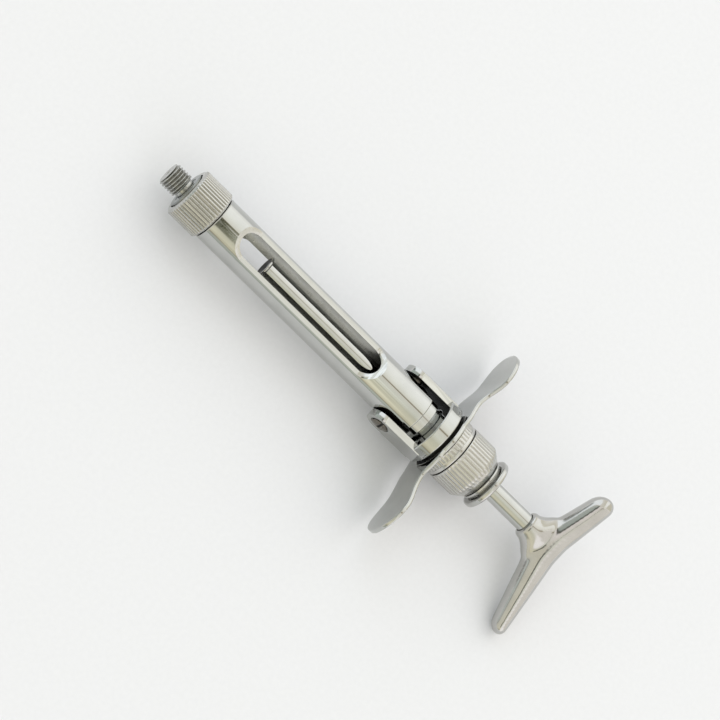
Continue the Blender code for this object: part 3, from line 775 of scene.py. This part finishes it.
# Each of these is how much the plate changes, how far out that starts and over what distance.
WING_PAD = (1.3, 12.5, 7)
WING_ROOT = (1.8, 5, 6)
WING_BACK = (1.5, 10, 8.5)
WING_FORWARD = (0.5, 19, 8)
LOCK_RING = (-17.0, -14.2)
LOCK_RING_R = 7.22
LOCK_SHOULDER_R = 7.1
CAP = (-25.9, -17.15)
CAP_R = 7.25
CAP_CONE = -23.55
CAP_HOLE_R = 3.55
CAP_WALL = -23.3
NUT_BORE_R = 6.7
NUT_RIBS = 44


def rise(reach, gain, start, run):
    """What a smooth rise by gain, from start and over a run, adds at a distance."""
    return gain * smooth_step((reach - start) / run)


def wing_half(y):
    """Half the height of the finger plate: taller at its root and its pads, with round tips."""
    reach = abs(y)
    half = WING_HALF + rise(reach, *WING_PAD) + WING_ROOT[0] - rise(reach, *WING_ROOT)
    past = reach - (WING_SPAN - WING_TIP)
    if past > 0:
        half *= math.sqrt(max(0.0, 1 - min(1.0, past / WING_TIP) ** 2.2))
    return max(half, 0.25)


def wing_offset(y):
    """How far forward of its middle the finger plate lies at a distance from the axis."""
    return rise(abs(y), *WING_FORWARD) - rise(abs(y), *WING_BACK)


def wing_ring(y, steps=6):
    """The finger plate's section at y, a thin rectangle with rounded edges."""
    half = wing_half(y)
    u = sum(GRIP) / 2 + wing_offset(y)
    thin = GRIP_HALF_THICK * (0.55 + 0.45 * min(1.0, half / 1.2))
    edge = min(GRIP_EDGE, half * 0.8, thin * 0.95)
    ring = []
    for sign_u, sign_z, start in ((1, 1, 0), (-1, 1, 1), (-1, -1, 2), (1, -1, 3)):
        for k in range(steps + 1):
            angle = math.pi / 2 * (start + k / steps)
            ring.append(world(u + sign_u * (thin - edge) + edge * math.cos(angle), y,
                              sign_z * (half - edge) + edge * math.sin(angle)))
    return ring


def make_grip(stations=180):
    """The gull-winged finger plate, with a disc round its hole."""
    rear, front = GRIP
    spread = [-WING_SPAN * math.cos(math.pi * i / stations) for i in range(stations + 1)]
    grip = loft("grip_wings", [wing_ring(y) for y in spread])
    outline = [(front, 0.01), (front, GRIP_R, 0.3), (rear, GRIP_R, 0.3), (rear, 0.01)]
    disc = spun("disc", rounded(outline, 0, False, 5), 192, closed=False)
    fill_ends(disc)
    combine(grip, disc, "UNION")
    hole = spun("hole", [(front + 5, GRIP_HOLE_R), (rear - 5, GRIP_HOLE_R)], 192, closed=False)
    fill_ends(hole)
    combine(grip, hole, "DIFFERENCE")
    show(grip, "frame", CHROME, "finger_grip", angle=35, even=True)


def make_lock_ring():
    """The ring nut that clamps the finger plate: a short knurl and a smooth shoulder."""
    rear, front = LOCK_RING
    outline = [(front, LOCK_RING_R, 0.15), (front - 0.2, LOCK_RING_R, 0),
               (rear + 1.05, LOCK_RING_R, 0), (rear + 0.95, LOCK_SHOULDER_R - 0.05, 0.03),
               (rear + 0.85, LOCK_SHOULDER_R, 0.05), (rear, LOCK_SHOULDER_R, 0.2),
               (rear, NUT_BORE_R), (front, NUT_BORE_R)]
    knurl = ribs(NUT_RIBS, 0.08, rear + 1.0, front - 0.1, fade=0.25, flat=0.3)
    profile = dense(rounded(outline, 0.06), 0.2)
    ring = spun("lock_ring_knurl", profile, 440, outside(6.9, knurl))
    show(ring, "frame", NUT, "grip_lock_ring", angle=50)


def make_rear_cap():
    """The long knurled cap with a conical end that closes the spring's housing."""
    rear, front = CAP
    outline = [(front, CAP_R, 0.15), (front - 0.3, CAP_R, 0), (CAP_CONE + 0.4, CAP_R, 0),
               (CAP_CONE, CAP_R - 0.05, 0.5), (rear, 5.55, 0.3), (rear, CAP_HOLE_R, 0.1),
               (CAP_WALL, CAP_HOLE_R), (CAP_WALL, NUT_BORE_R), (front, NUT_BORE_R)]
    knurl = ribs(NUT_RIBS, 0.12, CAP_CONE - 0.9, front - 0.15, fade=0.5, flat=0.3)

    def pattern(u, radius, angle):
        limit = 6.85 if u > CAP_CONE else 6.2
        knurled = radius > limit and CAP_CONE - 1.05 < u < front + 0.1
        return knurl(u, radius, angle) if knurled else (radius, 0.0)
    cap = spun("cap_knurl", dense(rounded(outline, 0.08, segments=6), 0.3), 440, pattern)
    show(cap, "frame", NUT, "rear_cap", angle=50)


# ---- spring guide, spool and spring ----------------------------------------------------------
NOSE_FRONT = -4.6
NOSE_R = 4.4
NOSE_FLAT = 3.55
GUIDE_FLANGE = (-11.9, -10.3)
GUIDE_FLANGE_R = 5.3
TAIL_END = -28.5
TAIL_R = 3.25
GUIDE_BORE_R = 2.65
SEAL_GROOVE = (-11, -9.6)
SEAL_GROOVE_R = 3.85
SPOOL = (-28.95, -26.2)
SPOOL_R = 6.5
SPOOL_NOSE_R = 5.35
SPOOL_NECK_R = 4.7
SPOOL_BORE_R = 3.55
SPRING_ENDS = (-22.58, -12.62)
SPRING_TURNS = 5
SPRING_R = 4.45
SPRING_WIRE_R = 0.42


def make_guide():
    """The sleeve that holds the rod: flattened nose, spring flange, groove for the O-ring, tail."""
    flange_rear, flange_front = GUIDE_FLANGE
    groove_rear, groove_front = SEAL_GROOVE
    outline = [(NOSE_FRONT, NOSE_R - 0.5, 0.1), (NOSE_FRONT - 0.5, NOSE_R, 0.2),
               (flange_front, NOSE_R), (flange_front, GUIDE_FLANGE_R),
               (flange_rear, GUIDE_FLANGE_R), (flange_rear, TAIL_R), (TAIL_END, TAIL_R, 0.1),
               (TAIL_END, GUIDE_BORE_R, 0.08), (groove_rear, GUIDE_BORE_R),
               (groove_rear, SEAL_GROOVE_R), (groove_front, SEAL_GROOVE_R),
               (groove_front, GUIDE_BORE_R), (NOSE_FRONT, GUIDE_BORE_R, 0.15)]
    guide = spun("guide_nose", rounded(outline, 0.06), 144)
    for side in (1, -1):
        low, high = span(side, NOSE_FLAT, BEYOND)
        combine(guide, block("flat", (-9.2, low, -BEYOND), (-2.6, high, BEYOND)), "DIFFERENCE")
    show(guide, "guide", TURNED, "guide_sleeve", angle=35, even=True)
    # Painted shade: the nose and its flats, seen in the gap between the fork ring and the barrel,
    # take the dark grey-green material.
    paint(guide, SHADED_FACE, lambda u, y, z: -9.8 < u < -5.5 and math.hypot(y, z) > 3.4)


def make_spool():
    """The flanged spool on the guide's tail that is pulled back to free the barrel."""
    rear, front = SPOOL
    outline = [(front, SPOOL_NOSE_R, 0.12), (front - 0.55, SPOOL_NOSE_R, 0.15),
               (front - 0.65, SPOOL_NECK_R, 0.1), (front - 0.95, SPOOL_NECK_R, 0.1),
               (front - 1.05, SPOOL_R - 0.6, 0.2), (rear + 1.5, SPOOL_R, 0.5),
               (rear + 0.25, SPOOL_R, 0.62), (rear, SPOOL_R - 1, 0.3), (rear, SPOOL_BORE_R, 0.12),
               (front, SPOOL_BORE_R, 0.1)]
    spool = spun("spool_ring", rounded(outline, 0.1, segments=8), 192)
    show(spool, "guide", TURNED, "release_spool")


def make_spring(per_turn=64, sides=14):
    """The return spring, a coil of round wire."""
    rear, front = SPRING_ENDS
    rings = []
    for i in range(SPRING_TURNS * per_turn + 1):
        angle = math.tau * i / per_turn
        u = front + (rear - front) * i / (SPRING_TURNS * per_turn)
        ring = []
        for cosine, sine in circle(sides):
            reach = SPRING_R + SPRING_WIRE_R * cosine
            ring.append(world(u + SPRING_WIRE_R * sine, math.cos(angle) * reach,
                              math.sin(angle) * reach))
        rings.append(ring)
    spring = loft("spring_coil", rings)
    show(spring, "frame", SPRING, "return_spring", angle=60)
    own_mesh(spring)


# ---- plunger ---------------------------------------------------------------------------------
ROD = (-50.2, 42.3)
ROD_R = 2.33
ROD_HOLE = (39.1, 1.3)          # its end and its radius
TIP_R = 2.9
TIP_FACE = 43
STEM_R = 1.0
STEM_END = 39.6
HUB_FRONT = -41.0
# The hub's sections: how far behind its front, half the width and half the thickness.
HUB = ((-0.1, 2.9, 2.9), (0, 3.15, 3.15), (0.35, 3.4, 3.4), (1.4, 3.5, 3.4), (2.4, 4.0, 3.4),
       (3.4, 4.9, 3.4), (4.4, 6.0, 3.3), (6.5, 6.2, 2.6))
LONG_ARM = 22.7
SHORT_ARM = 17.3
BAR = (-52.5, -45.2)
BAR_HALF_THICK = 3.3
BAR_THINNING = 0.9
# How steeply each arm's rear and front edges run back.
LONG_SLOPES = (0.155, 0.345)
SHORT_SLOPES = (0.15, 0.3)
CASTING_VOXEL = 0.3
# Where the joint's smoothing starts to change and over what distance, backwards if negative.
FLOW_FRONT = (-42.2, -2.5)
FLOW_REAR = (-53.5, 4)
FLOW_SIDE = (8, 6)


def make_rod():
    """The plunger's rod, with a hole in its front end for the tip's stem."""
    rear, front = ROD
    hole_end, hole_r = ROD_HOLE
    outline = [(front, hole_r), (front, ROD_R, 0.12), (rear, ROD_R, 0.2), (rear, 0.02)]
    profile = rounded(outline, 0.08, False, 6) + [(hole_end, 0.02), (hole_end, hole_r)]
    rod = spun("rod_bar", profile, 128, roll=HANDLE_ROLL)
    show(rod, "plunger", CHROME, "plunger_rod")


def make_tip():
    """The mushroom tip: a disc with a hollow face on a stem."""
    outline = [(TIP_FACE - 0.4, 0.02), (TIP_FACE - 0.38, 0.6, 0.3), (TIP_FACE, 2.45, 0.15),
               (TIP_FACE, TIP_R, 0.1), (TIP_FACE - 0.45, TIP_R, 0.08), (TIP_FACE - 0.45, STEM_R),
               (STEM_END, STEM_R, 0.1), (STEM_END, 0.02)]
    profile = rounded(outline, 0.05, False, 5)
    tip = spun("tip_disc", profile, 96, closed=False, roll=HANDLE_ROLL)
    fill_ends(tip)
    show(tip, "plunger", TURNED, "plunger_tip")
    # Painted shade: the hollow front face takes the near-black material.
    paint(tip, SHADE_BLACK, lambda u, y, z: u > TIP_FACE - 0.42 and math.hypot(y, z) < 2.62)


def handle_section(y):
    """Centre station, half width along the axis and half thickness of the palm bar at y."""
    arm, slopes = (LONG_ARM, LONG_SLOPES) if y > 0 else (SHORT_ARM, SHORT_SLOPES)
    reach = abs(y)
    rear = BAR[0] - slopes[0] * max(0.0, reach - 2)
    front = BAR[1] - slopes[1] * max(0.0, reach - 3.5)
    half = (front - rear) / 2
    thick = BAR_HALF_THICK - BAR_THINNING * (reach / arm) ** 2
    past = max(0.0, reach - arm + half) / half
    round_end = max(math.sqrt(max(0.0, 1 - past ** 2)), 0.03)
    return (front + rear) / 2, half * round_end, thick * round_end


def palm_bar(stations=140, sides=48):
    """The bar across the handle, with one arm longer than the other."""
    rings = []
    for i in range(stations + 1):
        share = (1 - math.cos(math.pi * i / stations)) / 2
        y = -SHORT_ARM + (LONG_ARM + SHORT_ARM) * share
        u, half, thick = handle_section(y)
        rings.append([world(u + half * cosine, y, thick * sine, HANDLE_ROLL)
                      for cosine, sine in circle(sides)])
    return loft("handle_casting", rings)


def flared_hub(sides=64):
    """The hub round the rod, which widens into the bar."""
    rings = [[world(HUB_FRONT - back, width * cosine, thick * sine, HANDLE_ROLL)
              for cosine, sine in circle(sides)] for back, width, thick in HUB]
    return loft("hub", rings)


def melt(obj):
    """Make one even skin of joined solids."""
    skin = obj.modifiers.new("skin", "REMESH")
    skin.mode = "VOXEL"
    skin.voxel_size = CASTING_VOXEL * MM
    even = obj.modifiers.new("even", "SMOOTH")
    even.factor = 0.5
    even.iterations = 14
    fine = obj.modifiers.new("fine", "SUBSURF")
    fine.levels = 1
    fine.render_levels = 1
    apply_all(obj)


def flow(obj):
    """Smooth a casting most where the hub meets the bar, so that they flow into each other."""
    joint = obj.vertex_groups.new(name="joint")
    for vertex in obj.data.vertices:
        x, y, z = vertex.co
        u, side = (x - AXIS_X) / MM, math.hypot(y, z - AXIS_Z) / MM
        weight = rise(u, 1, *FLOW_FRONT) * rise(u, 1, *FLOW_REAR) * (1 - rise(side, 1, *FLOW_SIDE))
        joint.add([vertex.index], weight, "REPLACE")
    step = obj.modifiers.new("flow", "SMOOTH")
    step.vertex_group = "joint"
    step.factor = 0.5
    step.iterations = 170
    apply_all(obj)


def make_handle():
    """The palm bar and its hub in one casting, bored for the rod."""
    handle = palm_bar()
    combine(handle, flared_hub(), "UNION")
    melt(handle)
    flow(handle)
    bore_r = ROD_R + 0.16
    bore = spun("bore", [(HUB_FRONT + 3, bore_r), (ROD[0] - 0.3, bore_r)], 96, closed=False,
                roll=HANDLE_ROLL)
    fill_ends(bore)
    combine(handle, bore, "DIFFERENCE")
    show(handle, "plunger", HANDLE, "handle", angle=50)


def finish_seal():
    """The O-ring keeps its CAD shape and takes the rubber."""
    seal = frame["nodes"]["rod_seal"]
    seal.data.materials.clear()
    seal.data.materials.append(RUBBER)


make_barrel()
make_adaptor()
make_collar()
make_fork()
make_screw("left", 1, math.radians(84))
make_screw("right", -1, math.radians(-50))
make_grip()
make_lock_ring()
make_rear_cap()
make_guide()
make_spool()
make_spring()
make_rod()
make_tip()
make_handle()
finish_seal()

# ---- floor, light tent and lamp --------------------------------------------------------------
FLOOR_HALF = 4
FLOOR_DROP = 0.00002
BLACK = (0.02, 0.02, 0.02, 1)


def add_floor():
    """A pale paper floor just under the syringe."""
    shape = bmesh.new()
    bmesh.ops.create_grid(shape, x_segments=60, y_segments=60, size=FLOOR_HALF)
    mesh = bpy.data.meshes.new("floor")
    shape.to_mesh(mesh)
    shape.free()
    floor = bpy.data.objects.new("floor", mesh)
    floor.location.z = -FLOOR_DROP
    SCENE.collection.objects.link(floor)
    material, nodes, shader = new_material("pale_paper")
    fibres = nodes.noise(nodes.place(), 900, 5)
    nodes.link(nodes.ramp(fibres, [(0.3, (0.79, 0.805, 0.865)), (0.7, (0.81, 0.825, 0.885))]),
               shader.inputs["Base Color"])
    nodes.link(nodes.ramp(fibres, [(0.3, 0.75), (0.7, 0.85)]), shader.inputs["Roughness"])
    floor.data.materials.append(material)


def side_colours(nodes, around):
    """The tent's two halves, with a dark seam where they meet overhead and another on one side."""
    return nodes.ramp(around, [
        (0.00, (0.80, 0.82, 0.80)), (0.235, (1.25, 1.25, 1.20)), (0.30, (1.55, 1.55, 1.50)),
        (0.36, (1.50, 1.50, 1.45)), (0.42, (1.42, 1.42, 1.33)), (0.475, (1.20, 1.17, 1.05)),
        (0.484, (0.42, 0.36, 0.24)), (0.489, (0.42, 0.36, 0.24)), (0.497, (1.12, 1.09, 0.98)),
        (0.555, (1.12, 1.13, 1.00)), (0.60, (0.94, 0.92, 0.74)), (0.665, (1.12, 1.07, 0.83)),
        (0.70, (0.85, 0.80, 0.60)), (0.708, (0.38, 0.32, 0.20)), (0.716, (0.62, 0.64, 0.56)),
        (0.76, (0.60, 0.66, 0.60)), (1.00, (0.60, 0.66, 0.60))])


def end_colours(nodes, along, across):
    """The tent's two ends. The one at the needle has dark bands, and is bright on the right, where
    y is negative."""
    ends = nodes.ramp(along, [
        (0.00, (1.50, 1.47, 1.45)), (0.28, (1.45, 1.41, 1.38)), (0.488, (1.00, 0.96, 0.80)),
        (0.80, (0.95, 0.93, 0.80)), (0.865, (0.85, 0.84, 0.74)), (0.885, (0.36, 0.36, 0.32)),
        (0.905, (0.76, 0.82, 0.78)), (1.00, (0.74, 0.80, 0.77))])
    middle = nodes.ramp(along, [
        (0.488, (1.12, 1.08, 1.00)), (0.56, (1.22, 1.16, 1.10)), (0.625, (1.25, 1.20, 1.15)),
        (0.650, (0.16, 0.15, 0.13)), (0.690, (0.14, 0.14, 0.12)), (0.725, (0.50, 0.54, 0.50)),
        (0.750, (0.60, 0.66, 0.61)), (1.00, (0.64, 0.70, 0.66))])
    right = nodes.ramp(along, [
        (0.488, (1.00, 0.96, 0.80)), (0.66, (1.20, 1.18, 1.10)), (0.72, (1.50, 1.56, 1.60)),
        (0.93, (1.45, 1.52, 1.56)), (0.95, (0.30, 0.32, 0.31)), (1.00, (0.5, 0.52, 0.5))])
    in_middle = nodes.ramp(across, [(0.366, 0.0), (0.380, 1.0), (0.600, 1.0), (0.640, 0.0)])
    on_right = nodes.ramp(across, [(0.345, 1.0), (0.358, 0.0)])
    return nodes.mix(on_right, nodes.mix(in_middle, ends, middle), right)


def add_tent():
    """The light tent. A ray's direction is read three ways, each from 0 to 1: around the
    syringe's axis, along it from the rear to the needle, and across it."""
    tent = bpy.data.worlds.new("tent")
    tent.use_nodes = True
    SCENE.world = tent
    nodes = Nodes(tent.node_tree)
    ray = nodes.add("ShaderNodeSeparateXYZ")
    nodes.link(nodes.add("ShaderNodeTexCoord").outputs["Generated"], ray.inputs[0])
    turn = nodes.math("ARCTAN2", ray.outputs["Y"], ray.outputs["Z"])
    around = nodes.math("MULTIPLY_ADD", turn, 1 / math.tau, 0.5)
    along = nodes.math("MULTIPLY_ADD", ray.outputs["X"], 0.5, 0.5)
    across = nodes.math("MULTIPLY_ADD", ray.outputs["Y"], 0.5, 0.5)
    above = nodes.ramp(ray.outputs["Z"], [(0.0, 0.0), (0.06, 1.0)])
    at_end = nodes.ramp(along, [(0.30, 1.0), (0.335, 0.0), (0.470, 0.0), (0.488, 1.0)])
    colours = nodes.mix(nodes.math("MULTIPLY", at_end, above), side_colours(nodes, around),
                        end_colours(nodes, along, across))
    strip = nodes.ramp(along, [(0.4105, 0.0), (0.4135, 1.0), (0.424, 1.0), (0.428, 0.0)])
    overhead = nodes.ramp(around, [(0.477, 0.0), (0.483, 1.0), (0.600, 1.0), (0.618, 0.0)])
    olive = nodes.ramp(along, [(0.4160, (0.32, 0.32, 0.20)), (0.4180, (0.03, 0.03, 0.02))])
    colours = nodes.mix(nodes.math("MULTIPLY", strip, overhead), colours, olive)
    seam = nodes.ramp(along, [(0.430, 0.0), (0.440, 1.0), (0.478, 1.0), (0.488, 0.0)])
    beside = nodes.ramp(around, [(0.539, 0.0), (0.544, 1.0), (0.62, 1.0), (0.64, 0.0)])
    colours = nodes.mix(nodes.math("MULTIPLY", seam, beside), colours, BLACK)
    background = tent.node_tree.nodes["Background"]
    nodes.link(colours, background.inputs["Color"])
    background.inputs["Strength"].default_value = 1.0


def add_softbox():
    """A wide soft lamp that only casts light and isn't itself reflected."""
    lamp = bpy.data.objects.new("softbox", bpy.data.lights.new("softbox", "AREA"))
    lamp.data.shape = "RECTANGLE"
    lamp.data.size, lamp.data.size_y = 1.3, 0.9
    lamp.data.energy = 1.7
    lamp.data.color = (0.99, 1.0, 0.99)
    lamp.location = (-0.35, -0.75, 0.7)
    lamp.rotation_euler = (-lamp.location).to_track_quat("-Z", "Y").to_euler()
    lamp.visible_camera = False
    lamp.visible_glossy = False
    SCENE.collection.objects.link(lamp)


add_camera()
add_floor()
add_tent()
add_softbox()
SCENE.view_settings.view_transform = "Standard"
